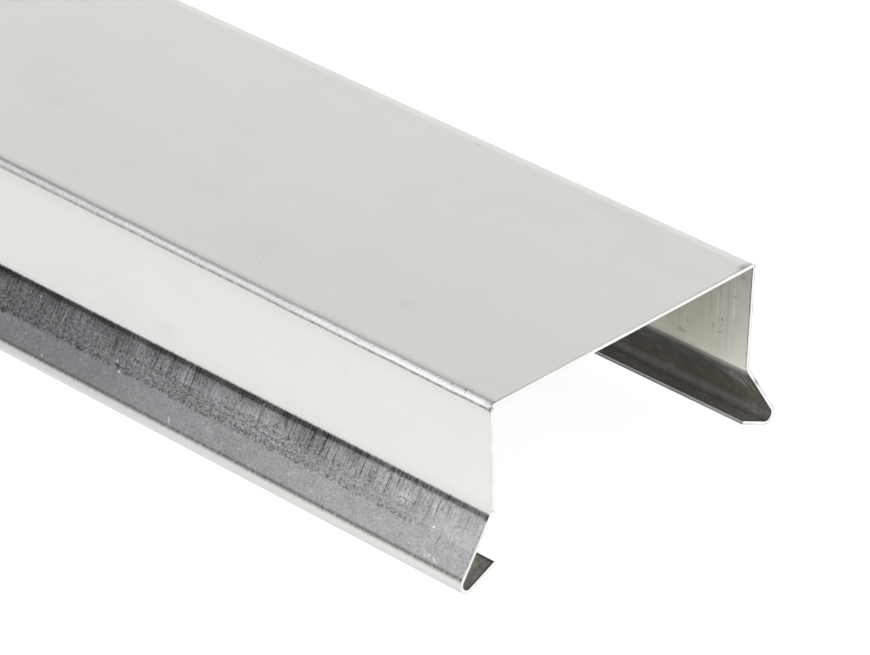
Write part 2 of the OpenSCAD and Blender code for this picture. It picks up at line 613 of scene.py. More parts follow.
# ------------------------------------------------------------------ outside face
def rolled(t, x, s):
    """The mill finish that the whole outside face shares: grey level, cloudiness, lengthwise lines, grain, pits and the
    painted highlights on their rims.
    """
    # rolled surface: cloudy blotches, faint lines along the length, fine grain
    cloud = t.noise(t.vec(x, t.mul(s, 1.6)), 22.0, 3.0, 0.55)
    cloud2 = t.noise(t.vec(t.add(x, 7.3), s), 85.0, 3.0, 0.6)
    lines = t.noise(t.vec(t.mul(x, 6.0), t.mul(s, 1500.0)), 1.0, 2.0, 0.6)
    lines2 = t.noise(t.vec(t.mul(x, 1.4), t.mul(s, 260.0)), 1.0, 2.0, 0.5)
    grain = t.noise(t.vec(x, s), 4800.0, 2.0, 0.6)
    smudge = t.span(t.noise(t.vec(t.add(x, 1.9), t.mul(s, 2.0)), 24.0, 4.0, 0.6), 0.58, 0.76)
    tone = t.add(
        0.808,
        t.mul(t.sub(cloud, 0.5), 0.036),
        t.mul(t.sub(cloud2, 0.5), 0.024),
        t.mul(t.sub(lines, 0.5), 0.012),
        t.mul(t.sub(lines2, 0.5), 0.012),
        t.mul(t.sub(grain, 0.5), 0.024),
        t.mul(smudge, -0.020),
    )

    # tiny specks: dark pits, each with a painted highlight on one side of its rim
    speck, rim_highlight = 0.0, 0.0
    for k, (size, keep, off) in enumerate(((70.0, 0.80, 0.0), (140.0, 0.90, 3.7))):
        c = t.voronoi(t.vec(t.add(x, off), s), size)
        pick = t.node("ShaderNodeSeparateColor", {0: c.outputs["Color"]})
        on = t.math("GREATER_THAN", pick.outputs[0], keep)
        r = t.mul(size * 0.00030, t.add(0.5, pick.outputs[1]))
        g = t.mul(t.span(t.math("DIVIDE", c.outputs["Distance"], r), 0.35, 1.0, 1.0, 0.0), on)
        c2 = t.voronoi(t.vec(t.add(x, off + 0.00022), t.add(s, 0.0001)), size)
        g2 = t.mul(t.span(t.math("DIVIDE", c2.outputs["Distance"], r), 0.2, 0.8, 1.0, 0.0), on)
        speck = g if k == 0 else t.add(speck, t.mul(g, 0.7))
        rim_highlight = g2 if k == 0 else t.add(rim_highlight, t.mul(g2, 0.6))
    tone = t.add(tone, t.mul(speck, -0.10), t.mul(rim_highlight, 0.05))

    return tone, cloud, lines, grain, speck


def leg_blotches_and_shade(t, tone, w, end, at):
    """Blotches on the leg, and painted light and shade on it: a little lighter towards a cut end, darker by the fold
    and in the bend above the kick.
    """
    tone = t.sub(tone, t.mul(t.blob(at, 89, -57.8, 6, 3.5, 0, 0.1, 1.0), 0.035))
    tone = t.sub(tone, t.mul(t.blob(at, 116, -55.0, 8, 5, 0, 0.0, 1.0), 0.020))
    # painted light: the leg a little lighter towards a cut end
    leg = t.band(w, W_FOLD1 + 0.4 * MM, W_CREASE1, 0.4 * MM)
    tone = t.add(tone, t.mul(leg, t.span(end, 0.0, 0.12, 0.022, -0.02, smooth=False)))
    # painted shade: the leg is a little darker by the fold, and again in the bend above the kick
    tone = t.mul(tone, t.curve(w, (W_FOLD1 + 0.05 * MM, 1.0), (W_FOLD1 + 0.40 * MM, 0.83), (W_FOLD1 + 0.9 * MM, 0.855), (41.5 * MM, 0.902), (50 * MM, 0.930), (57 * MM, 0.964), (W_CREASE0 - 0.5 * MM, 0.978), (W_CREASE0 + 0.8 * MM, 0.89), (W_CREASE1 + 0.2 * MM, 0.85), (W_CREASE1 + 1.5 * MM, 1.0)))
    return tone


def outside(m, t, bsdf, tint, tone, rough, height):
    t.set(bsdf.inputs["Base Color"], t.shade(tint, tone))
    bsdf.inputs["Metallic"].default_value = 1.0
    t.set(bsdf.inputs["Roughness"], rough)
    bump = t.node("ShaderNodeBump")              # relief too fine for the mesh
    bump.inputs["Strength"].default_value = 0.4
    bump.inputs["Distance"].default_value = 0.012 * MM
    t.set(bump.inputs["Height"], height)
    t.set(bsdf.inputs["Normal"], bump.outputs[0])
    return m


def panel_material():
    """The web, the two folds and the legs."""
    m, t, bsdf = material("mill_aluminium_panel")
    x, s, w, side = sheet_coords(t)
    e = t.sub(END_X, x)                          # from the near cut end
    end = t.math("MINIMUM", e, t.sub(x, FAR_X))  # from the nearer cut end
    sw = t.sub(s, DEV / 2)
    at = t.vec(e, sw)
    tone, cloud, lines, grain, speck = rolled(t, x, s)
    warp = t.noise(t.vec(x, s), 130.0, 3.0, 0.6)
    stain = t.mul(t.blob(at, 75, -25, 15, 11, 10, 0.1, 1.0), t.span(warp, 0.25, 0.6, 0.6, 1.0))
    stain2 = t.mul(t.blob(at, 36.5, -21.7, 5, 3, -20, 0.2, 1.0), t.span(warp, 0.3, 0.6))
    tone = t.add(tone, t.mul(t.add(stain, stain2), -0.024))

    # light handling scratches near the cut end, and sparse ones along the rest
    arc = t.ring(at, 40.0, -44.0, 27.5, 0.22)
    arc = t.mul(arc, t.blob(at, 17, -27, 12, 9, 0, 0.5, 1.0))
    arc2 = t.mul(t.ring(at, 28.0, -38.0, 10.0, 0.2), t.blob(at, 27, -28, 7, 5, 0, 0.4, 1.0))
    wander = t.noise(t.vec(x, s), 26.0, 2.0, 0.5)
    scr = t.voronoi(t.vec(t.add(t.mul(x, 8.0), t.mul(wander, 3.0)), t.add(t.mul(s, 34.0), t.mul(wander, 5.0))), 1.0, feature="DISTANCE_TO_EDGE")
    gate = t.span(t.noise(t.vec(t.add(x, 3.1), s), 26.0, 2.0, 0.5), 0.64, 0.76)
    scratch = t.add(t.mul(t.span(scr.outputs["Distance"], 0.0, 0.010, 1.0, 0.0), gate, 0.7), t.mul(arc, 0.7), t.mul(arc2, 0.6))
    scratch = t.mul(scratch, t.span(t.noise(t.vec(x, s), 700.0, 2.0, 0.6), 0.35, 0.6))
    tone = t.add(tone, t.mul(scratch, 0.030))

    # the folds: a band round the bend, partly rubbed and partly a painted highlight, with painted shade where it meets
    # the web and the leg, much stronger on the near fold than the far one
    fine = t.noise(t.vec(t.mul(x, 1900.0), t.mul(s, 2600.0)), 1.0, 2.0, 0.65)
    slow = t.noise(t.vec(x, t.mul(side, 5.0)), 95.0, 3.0, 0.6)
    wob = t.add(t.mul(t.sub(slow, 0.5), 0.34 * MM), t.mul(t.sub(fine, 0.5), 0.22 * MM))
    wf = t.add(w, wob)
    one_side = t.mix(side, 1.0, 0.25, "FLOAT")
    fold_shade_up = t.near(wf, W_FOLD0 + 0.03 * MM, 0.40 * MM)
    away = t.span(end, 0.02, 0.13, smooth=False)
    fold_shade_soft = t.span(w, W_FOLD0 - 2.0 * MM, W_FOLD0 + 0.1 * MM)
    fold_shade_soft = t.mul(fold_shade_soft, t.span(w, W_FOLD0, W_FOLD0 + 0.3 * MM, 1.0, 0.0))
    fold_shade_lo = t.near(t.add(wf, t.span(end, 0.048, 0.062, -0.10 * MM, 0.0)), W_FOLD1 + 0.13 * MM, 0.47 * MM)
    lo_dash = t.span(t.noise(t.vec(t.mul(x, 620.0), t.mul(side, 7.0)), 1.0, 3.0, 0.7), 0.34, 0.62, 0.50, 0.72)
    rubbed_fold_highlight = t.band(wf, W_FOLD0 + 0.19 * MM, W_FOLD1 - 0.10 * MM, 0.14 * MM)
    tone = t.mul(tone, t.sub(1.0, t.mul(fold_shade_up, one_side, t.add(0.28, t.mul(away, 0.14), t.mul(t.sub(slow, 0.5), 0.3)))), t.sub(1.0, t.mul(fold_shade_soft, one_side, t.add(0.11, t.mul(away, 0.05)))), t.sub(1.0, t.mul(fold_shade_lo, one_side, lo_dash)))
    tone = t.add(tone, t.mul(rubbed_fold_highlight, t.add(t.span(end, 0.8 * MM, 2.6 * MM, -0.18, 0.0), t.mul(t.near(w, W_FOLD1 - 0.22 * MM, 0.36 * MM), t.span(end, 0.012, 0.060, 0.12, -0.04)), t.mul(away, one_side, -0.20), t.mul(t.sub(fine, 0.5), 0.50), t.mul(t.sub(slow, 0.5), 0.28))))
    # small nicks beside the near fold
    for ce, cs, re, rs, rot, k in ((7.2, -37.15, 0.9, 0.16, 62, 0.45), (7.3, -37.2, 0.8, 0.16, -20, 0.4), (6.2, -36.7, 0.5, 0.3, 35, 0.3), (10.7, -37.3, 0.5, 0.2, 0, 0.3), (72.0, 35.0, 1.6, 0.25, 4, 0.22), (57.5, -37.3, 0.5, 0.2, 15, 0.25), (103.0, -37.4, 0.7, 0.2, 0, 0.3), (31.9, -38.22, 0.45, 0.16, 3, 0.6), (28.3, -38.25, 0.4, 0.14, -4, 0.6), (19.0, -38.2, 0.5, 0.14, 0, 0.35), (46.5, -38.25, 0.7, 0.14, 0, 0.4), (0.15, -38.1, 0.5, 0.5, 0, 0.5)):
        tone = t.mul(tone, t.sub(1.0, t.mul(t.blob(at, ce, cs, re, rs, rot, 0.3, 1.0), k)))
    # painted shade of the sheared rollover: the outside face darker within half a millimetre of each cut, most by the
    # near fold. Two more darker spots lie where the cut meets the folds.
    cut_rollover_shade = t.mul(t.span(t.add(end, t.mul(t.sub(fine, 0.5), 0.25 * MM)), 0.05 * MM, 0.50 * MM, 1.0, 0.0), t.curve(w, (0.0, 0.16), (W_FOLD0 - 14 * MM, 0.22), (W_FOLD0 - 5 * MM, 0.36), (W_FOLD0, 0.52), (W_FOLD1 + 0.5 * MM, 0.45), (W_FOLD1 + 1.5 * MM, 0.06), (W_EDGE, 0.05)))
    tone = t.mul(tone, t.sub(1.0, cut_rollover_shade))
    tone = t.mul(tone, t.sub(1.0, t.mul(t.blob(at, 0.5, 35.0, 1.3, 2.8, 0, 0.2, 1.0), t.span(fine, 0.40, 0.56, 0.15, 0.55))), t.sub(1.0, t.mul(t.blob(at, 0.6, -38.5, 1.9, 0.8, 0, 0.1, 1.0), 0.16)))
    # painted highlight: the far fold is lighter where it leaves the web
    tone = t.add(tone, t.mul(t.span(sw, 34.9 * MM, 36.9 * MM), 0.17))
    # painted light: the web a little lighter towards the far fold
    tone = t.mul(tone, t.mix(t.span(w, W_FOLD0 - 1.5 * MM, W_FOLD0 - 0.4 * MM), t.span(sw, -33 * MM, 33 * MM, 1.005, 1.036, smooth=False), 1.0, "FLOAT"))
    # painted shade on the web beside the near fold
    tone = t.mul(tone, t.sub(1.0, t.mul(t.near(w, W_FOLD0 - 0.50 * MM, 0.42 * MM), one_side, 0.09)))
    tone = leg_blotches_and_shade(t, tone, w, end, at)

    # painted tint of the reflected surroundings: warm on the web, a little less on the legs, neutral grey on the folds
    warm = (1.0, 1.008, 0.950, 1.0)
    pale = t.mix(t.math("GREATER_THAN", w, 0.5 * (W_FOLD0 + W_FOLD1)), warm, (1.0, 1.001, 0.967, 1.0))
    grey = t.mul(t.span(w, W_FOLD0 - 0.5 * MM, W_FOLD0 + 0.1 * MM), t.span(w, W_FOLD1 + 0.1 * MM, W_FOLD1 + 0.7 * MM, 1.0, 0.0))
    tint = t.mix(grey, pale, (1.0, 0.998, 0.996, 1.0))
    rough = t.add(0.36, t.mul(t.sub(cloud, 0.5), 0.05), t.mul(t.sub(lines, 0.5), 0.04), t.mul(speck, 0.15))
    height = t.add(t.mul(lines, 0.30), t.mul(grain, 0.45), t.mul(speck, -2.0), t.mul(scratch, -0.8), t.mul(rubbed_fold_highlight, fine, 2.2))
    return outside(m, t, bsdf, tint, tone, rough, height)


def flange_material():
    """The bend above the kick, the kick, the hem and the underside of the lip."""
    m, t, bsdf = material("mill_aluminium_flange")
    x, s, w, side = sheet_coords(t)
    e = t.sub(END_X, x)                          # from the near cut end
    end = t.math("MINIMUM", e, t.sub(x, FAR_X))  # from the nearer cut end
    sw = t.sub(s, DEV / 2)
    at = t.vec(e, sw)
    tone, cloud, lines, grain, speck = rolled(t, x, s)
    tone = leg_blotches_and_shade(t, tone, w, end, at)
    # the hem's bend is darker: partly rubbed, partly painted shade of the bend, and darker further from a cut end where
    # the hem starts
    hem_rub_and_shade = t.curve(w, (W_HEM0 - 0.4 * MM, 1.0), (W_HEM0 + 0.2 * MM, 0.93), (W_HEM0 + 1.2 * MM, 0.87), (W_HEM0 + 2.2 * MM, 0.75), (W_HEM1 - 0.5 * MM, 0.71), (W_HEM1 + 1.5 * MM, 0.88), (W_EDGE, 0.95))
    hem_rub_and_shade = t.mul(hem_rub_and_shade, t.sub(1.0, t.mul(t.near(w, W_HEM0 + 0.8 * MM, 1.0 * MM), t.span(end, 0.02, 0.12, 0.0, 0.19, smooth=False))))
    tone = t.mul(tone, hem_rub_and_shade)


    # kick: dragged over the die above the shoulder line, scuffed below it
    K0, K1 = W_CREASE1 + 0.30 * MM, W_HEM0 + 0.16 * MM
    kjit = t.mul(t.sub(t.noise(t.vec(t.mul(x, 900.0), t.mul(side, 3.0)), 1.0, 3.0, 0.7), 0.5), 0.36 * MM)
    kick = t.mul(t.span(t.add(w, kjit), K0 - 0.30 * MM, K0 + 0.30 * MM), t.span(t.add(w, kjit), K1 - 0.40 * MM, K1 + 0.55 * MM, 1.0, 0.0))
    die_line = t.add(W_DIE, t.mul(t.sub(t.noise(t.vec(t.mul(x, 110.0), t.mul(side, 4.0)), 1.0, 4.0, 0.7), 0.5), 0.8 * MM))
    below_line = t.sub(w, die_line)              # metres past the line, towards the hem
    above = t.span(below_line, -0.30 * MM, 0.25 * MM, 1.0, 0.0)
    far_in = t.span(end, 0.10, 0.25)

    # grey level without marks: dark partly from galling and partly from painted shade, and lighter towards a cut end by
    # painted light
    slow_k = t.sub(t.noise(t.vec(t.mul(x, 9.0), t.mul(side, 4.0)), 1.0, 2.0, 0.5), 0.5)
    kick_above_wear_and_shade = t.add(t.curve(end, (2 * MM, 0.455), (10 * MM, 0.43), (25 * MM, 0.40), (36 * MM, 0.345), (60 * MM, 0.315), (85 * MM, 0.252), (125 * MM, 0.150)), t.mul(slow_k, 0.14, far_in))
    kick_below_wear_and_shade = t.add(t.curve(end, (2 * MM, 0.43), (10 * MM, 0.435), (40 * MM, 0.375), (62 * MM, 0.315), (88 * MM, 0.285), (100 * MM, 0.232), (125 * MM, 0.205)), t.mul(slow_k, 0.12, far_in))

    # transverse drag streaks, each with a reach of its own
    thin = t.noise(t.vec(t.mul(x, 2900.0), t.mul(s, 60.0)), 1.0, 2.0, 0.7)
    thin2 = t.noise(t.vec(t.add(t.mul(x, 1900.0), 40.0), t.mul(s, 150.0)), 1.0, 3.0, 0.7)
    wide = t.noise(t.vec(t.mul(x, 420.0), t.mul(s, 60.0)), 1.0, 3.0, 0.65)
    patch = t.noise(t.vec(t.mul(x, 85.0), t.mul(s, 120.0)), 1.0, 3.0, 0.6)
    reach = t.noise(t.vec(t.mul(x, 1100.0), t.mul(side, 9.0)), 1.0, 2.0, 0.7)
    tip = t.add(W_CREASE1 + 5.2 * MM, t.mul(t.sub(reach, 0.5), 9.0 * MM))
    run = t.span(t.sub(w, tip), -0.6 * MM, 0.7 * MM, 1.0, 0.0)
    galled = t.mul(t.math("MAXIMUM", t.span(patch, 0.28, 0.52, 0.25, 1.0), t.span(end, 0.076, 0.090, 0.0, 0.72)), t.span(end, 2 * MM, 16 * MM, 0.30, 1.0), t.curve(end, (0.0, 1.0), (0.050, 1.0), (0.058, 0.6), (0.072, 0.6), (0.080, 1.0), (0.3, 1.0)))
    dark_streak = t.mul(t.span(thin, 0.45, 0.31), galled, run)
    dark_streak2 = t.mul(t.span(thin2, 0.43, 0.29), t.span(wide, 0.32, 0.58), galled, t.add(0.25, t.mul(run, 0.75)))
    light_streak = t.mul(t.span(thin, 0.58, 0.74), galled, run)
    # the mottle of a rubbed surface, with short curved scuffs in it
    mott = t.noise(t.vec(t.mul(x, 2500.0), t.mul(s, 2900.0)), 1.0, 1.0, 0.8)
    mott2 = t.noise(t.vec(t.mul(x, 1150.0), t.mul(s, 1500.0)), 1.0, 2.0, 0.7)
    mott3 = t.noise(t.vec(t.mul(x, 380.0), t.mul(s, 480.0)), 1.0, 3.0, 0.6, distortion=0.6)
    mottle = t.add(t.mul(t.sub(mott, 0.5), 1.45), t.mul(t.sub(mott2, 0.5), 1.15), t.mul(t.sub(mott3, 0.5), 0.42))
    curl = t.noise(t.vec(t.mul(x, 520.0), t.mul(s, 700.0)), 1.0, 1.0, 0.5, distortion=0.8)
    curl2 = t.noise(t.vec(t.add(t.mul(x, 760.0), 11.0), t.mul(s, 620.0)), 1.0, 1.0, 0.5, distortion=0.7)
    gate = t.span(mott3, 0.44, 0.58)
    scuff_l = t.mul(t.span(t.math("ABSOLUTE", t.sub(curl, 0.52)), 0.006, 0.028, 1.0, 0.0), gate)
    scuff_d = t.mul(t.span(t.math("ABSOLUTE", t.sub(curl2, 0.47)), 0.005, 0.022, 1.0, 0.0), t.sub(1.0, gate))
    scuffs = t.sub(t.mul(scuff_l, 0.26), t.mul(scuff_d, 0.20))
    k_above = t.mul(kick_above_wear_and_shade, t.add(1.0, t.mul(mottle, t.curve(end, (0.0, 0.30), (0.012, 0.42), (0.030, 0.67), (0.050, 0.84), (0.078, 0.84), (0.090, 1.08), (0.3, 1.08))), scuffs, t.mul(dark_streak, -0.62), t.mul(dark_streak2, -0.58), t.mul(light_streak, 0.46), t.mul(t.sub(wide, 0.5), 0.50), t.mul(t.sub(patch, 0.5), -0.40)))
    weak = t.mul(t.span(t.noise(t.vec(t.mul(x, 160.0), t.mul(side, 2.0)), 1.0, 2.0, 0.5), 0.54, 0.70), 0.5)
    k_below = t.mul(kick_below_wear_and_shade, t.add(1.0, t.mul(mottle, 0.44), t.mul(scuffs, 1.10), t.mul(t.span(thin, 0.45, 0.31), weak, -0.35)))
    k_tone = t.mix(above, k_below, k_above, "FLOAT")
    relief = t.add(t.mul(galled, run, thin, 2.2), mott, t.mul(mott2, 1.3), t.mul(scuff_l, 0.8), t.mul(scuff_d, -0.8))

    # rows of dark flecks, from the tips of the streaks down to the shoulder line
    fleck = t.noise(t.vec(t.mul(x, 1250.0), t.mul(s, 2600.0)), 1.0, 2.0, 0.75)
    dash = t.span(t.noise(t.vec(t.mul(x, 430.0), t.mul(side, 3.0)), 1.0, 3.0, 0.7), 0.38, 0.54)
    sway = t.mul(t.sub(fleck, 0.5), 2.0 * MM)
    spot = t.mul(t.span(mott2, 0.57, 0.45, 0.12, 1.0), t.span(mott, 0.66, 0.50, 0.35, 1.0))
    row = t.mul(t.near(t.add(below_line, sway), -0.20 * MM, 0.72 * MM), dash, spot)
    row = t.math("MAXIMUM", row, t.mul(t.near(t.add(below_line, t.mul(sway, 0.12)), 0.02 * MM, 0.20 * MM), dash, t.span(mott2, 0.60, 0.40, 0.25, 0.85)))
    rows = t.mul(t.band(below_line, -3.9 * MM, -0.2 * MM, 1.0 * MM), t.span(fleck, 0.53, 0.62), t.span(mott3, 0.38, 0.54))
    packed = t.curve(end, (0.0, 0.25), (0.012, 0.5), (0.046, 0.62), (0.052, 0.82), (0.076, 0.82), (0.082, 0.62), (0.120, 0.62), (0.3, 0.8))
    for k, (up, size) in enumerate(((3.4, 0.62), (2.2, 0.52), (0.95, 0.74))):
        gap = t.span(t.noise(t.vec(t.mul(x, 210.0), 3.0 + 5 * k), 1.0, 3.0, 0.7), 0.36, 0.50)
        gap = t.math("MAXIMUM", gap, t.band(end, 0.051, 0.076, 0.006))
        line = t.mul(t.near(t.add(below_line, sway), -up * MM, size * MM), gap, spot)
        rows = t.math("MAXIMUM", rows, line)
    die_fade = t.span(end, 11 * MM, 18 * MM)
    k_tone = t.mul(k_tone, t.sub(1.0, t.mul(row, die_fade, 0.60)), t.sub(1.0, t.mul(rows, packed, die_fade, 0.64)))
    relief = t.add(relief, t.mul(row, -1.5), t.mul(rows, -1.0))

    # a black band right under the crease, partly drag marks and partly painted shade of the crease, with teeth where
    # the streaks start
    down = t.sub(w, K0)
    thick = t.curve(end, (0.0, 1.04), (0.022, 1.02), (0.032, 0.92), (0.042, 1.08), (0.060, 1.22), (0.075, 1.16), (0.085, 1.0), (0.3, 1.0))
    rag = t.mul(t.sub(thin, 0.5), 2.0 * MM)
    rag2 = t.mul(t.sub(wide, 0.5), 1.6 * MM)
    tooth = t.span(t.noise(t.vec(t.mul(x, 2300.0), t.mul(s, 90.0)), 1.0, 2.0, 0.75), 0.36, 0.60)
    core_d = t.sub(down, t.mul(thick, 1.0 * MM))
    band_core = t.span(core_d, -0.10 * MM, 0.30 * MM, 1.0, 0.0)
    band_rag = t.span(t.sub(core_d, t.add(rag, rag2)), -0.35 * MM, 0.55 * MM, 1.0, 0.0)
    depth = t.add(t.curve(end, (0.0, 0.46), (0.020, 0.47), (0.028, 0.57), (0.045, 0.57), (0.060, 0.55), (0.080, 0.53), (0.095, 0.49), (0.3, 0.49)), t.mul(tooth, t.curve(end, (0.0, 0.34), (0.020, 0.32), (0.028, 0.20), (0.3, 0.17))), t.mul(t.sub(wide, 0.5), 0.40))
    black = t.math("MAXIMUM", t.mul(band_core, depth), t.mul(band_rag, 0.58))
    lull = t.noise(t.vec(t.mul(x, 130.0), t.mul(side, 8.0)), 1.0, 2.0, 0.6)
    # painted shade below the crease, deeper away from a cut end
    under_crease_shade = t.mul(t.span(down, 0.4 * MM, 4.6 * MM, 1.0, 0.0), t.span(lull, 0.34, 0.62, 0.35, 1.0))
    k_tone = t.mul(k_tone, t.sub(1.0, black), t.sub(1.0, t.mul(under_crease_shade, t.span(end, 0.018, 0.060, 0.04, 0.46))))
    # darker and lighter stretches of the streaked strip
    for ce, cs, re, rs, rot, k in ((46.0, -65.0, 7.0, 3.4, 0, 0.24), (31.0, -65.0, 3.0, 2.6, 0, 0.08), (100.0, -65.0, 8.0, 3.2, 0, 0.32), (61.0, -65.6, 8.0, 2.2, 4, -0.12), (80.5, -65.5, 5.0, 2.0, 8, -0.22), (20.5, -66.3, 3.5, 2.2, 0, -0.16)):
        k_tone = t.mul(k_tone, t.sub(1.0, t.mul(t.blob(at, ce, cs, re, rs, rot, 0.1, 1.0), k)))
    # broken brownish line above the hem
    dots = t.span(t.noise(t.vec(t.mul(x, 1150.0), t.mul(side, 2.0)), 1.0, 3.0, 0.7), 0.36, 0.58, 0.35, 1.0)
    hem_line = t.mul(t.near(t.add(w, t.mul(t.sub(mott2, 0.5), 0.8 * MM)), W_HEM0 - 0.10 * MM, 0.66 * MM), dots)
    hem_soft = t.span(w, W_HEM0 - 1.1 * MM, W_HEM0 - 0.2 * MM)
    k_tone = t.mul(k_tone, t.sub(1.0, t.mul(hem_line, 0.57)), t.sub(1.0, t.mul(hem_soft, t.span(end, 0.050, 0.068, 0.20, 0.03))))
    # bright torn flecks and a few placed marks near the cut end
    cf = t.voronoi(t.vec(x, s), 330.0)
    pf = t.node("ShaderNodeSeparateColor", {0: cf.outputs["Color"]})
    torn = t.mul(t.span(cf.outputs["Distance"], 0.03, 0.085, 1.0, 0.0), t.math("GREATER_THAN", pf.outputs[0], 0.94))
    for ce, cs, re, rs, rot, k in ((11.0, -68.8, 0.42, 0.38, 0, 0.6), (8.0, -74.4, 0.6, 0.32, 35, 0.55), (9.5, -74.1, 0.3, 0.5, 10, 0.4), (10.3, -74.5, 0.3, 0.3, 0, 0.35), (7.2, -74.8, 0.25, 0.3, 0, 0.4), (97.6, -70.3, 0.5, 0.4, 0, 0.6), (99.0, -68.6, 0.35, 0.3, 0, 0.5), (81.0, -74.3, 0.3, 1.1, -25, 0.35)):
        torn = t.add(torn, t.mul(t.blob(at, ce, cs, re, rs, rot, 0.3, 1.0), k * 2))
    k_tone = t.add(k_tone, t.mul(torn, 0.32))
    relief = t.add(relief, t.mul(torn, 1.5))
    for ce, cs, re, rs, rot, k in ((8.9, -70.8, 0.30, 1.8, 12, 0.42), (8.6, -72.6, 0.25, 1.0, -20, 0.35), (6.9, -71.2, 0.2, 1.3, 0, 0.22), (4.1, -64.6, 0.18, 1.6, 0, 0.35), (8.4, -65.4, 0.18, 1.9, 0, 0.30), (13.8, -67.0, 0.18, 1.5, 0, 0.35), (15.6, -65.2, 0.2, 2.4, 0, 0.42), (16.8, -65.2, 0.2, 2.2, 0, 0.35), (14.2, -65.9, 0.55, 0.35, 0, 0.45), (110.0, -69.8, 0.9, 0.5, -30, 0.6), (98.6, -69.3, 1.1, 0.45, 10, 0.55), (132.0, -70.2, 1.1, 0.6, 0, 0.6), (62.0, -66.0, 1.4, 0.35, 0, 0.35), (56.0, -65.7, 0.5, 0.5, 0, 0.4), (29.5, -65.9, 0.9, 0.25, 4, 0.35), (46.0, -65.9, 1.6, 0.22, 2, 0.35), (0.35, -66.6, 0.35, 0.28, 20, 0.6), (0.5, -69.2, 0.4, 0.3, 0, 0.4), (0.2, -62.9, 0.5, 0.8, 0, 0.5)):
        k_tone = t.mul(k_tone, t.sub(1.0, t.mul(t.blob(at, ce, cs, re, rs, rot, 0.2, 1.0), k)))
    # ragged darker margin along the cut, painted shade of the sheared rollover, with a few bright nicks
    cut_ragged_shade = t.span(t.sub(end, t.mul(t.sub(mott2, 0.5), 1.1 * MM)), 0.05 * MM, 0.65 * MM, 1.0, 0.0)
    k_tone = t.mul(k_tone, t.sub(1.0, t.mul(cut_ragged_shade, t.span(mott3, 0.40, 0.60, 0.0, 0.34))))
    nick = t.mul(t.span(t.sub(end, t.mul(t.sub(mott2, 0.5), 0.9 * MM)), 0.05 * MM, 0.40 * MM, 1.0, 0.0), t.span(mott3, 0.46, 0.36))
    k_tone = t.add(k_tone, t.mul(nick, 0.14))
    k_tone = t.math("MAXIMUM", k_tone, 0.02)
    tone = t.mix(kick, tone, k_tone, "FLOAT")

    # painted tint of the reflected surroundings: the kick cooler in hue further from a cut end; the hue patches on top
    # are random
    cool = t.mix(t.span(end, 0.02, 0.11), (0.995, 1.0, 1.012, 1.0), (0.985, 0.987, 1.055, 1.0))
    hue = t.noise(t.vec(t.mul(x, 340.0), t.mul(s, 430.0)), 1.0, 3.0, 0.6)
    cool = t.mix(t.span(hue, 0.50, 0.66), cool, (0.978, 1.000, 1.030, 1.0))
    cool = t.mix(t.span(hue, 0.48, 0.33), cool, (1.008, 0.988, 1.004, 1.0))
    brown = t.mix(hem_line, cool, (1.07, 0.985, 0.90, 1.0))
    hemmed = t.mix(t.math("GREATER_THAN", w, W_HEM0), (1.0, 1.001, 0.967, 1.0), (1.0, 0.990, 0.972, 1.0))
    tint = t.mix(kick, hemmed, brown)
    rough = t.add(0.36, t.mul(t.sub(cloud, 0.5), 0.05), t.mul(t.sub(lines, 0.5), 0.04), t.mul(kick, 0.10), t.mul(speck, 0.15))
    height = t.add(
        t.mul(lines, 0.30),
        t.mul(grain, 0.45),
        t.mul(speck, -2.0),
        t.mul(kick, relief),
    )
    return outside(m, t, bsdf, tint, tone, rough, height)


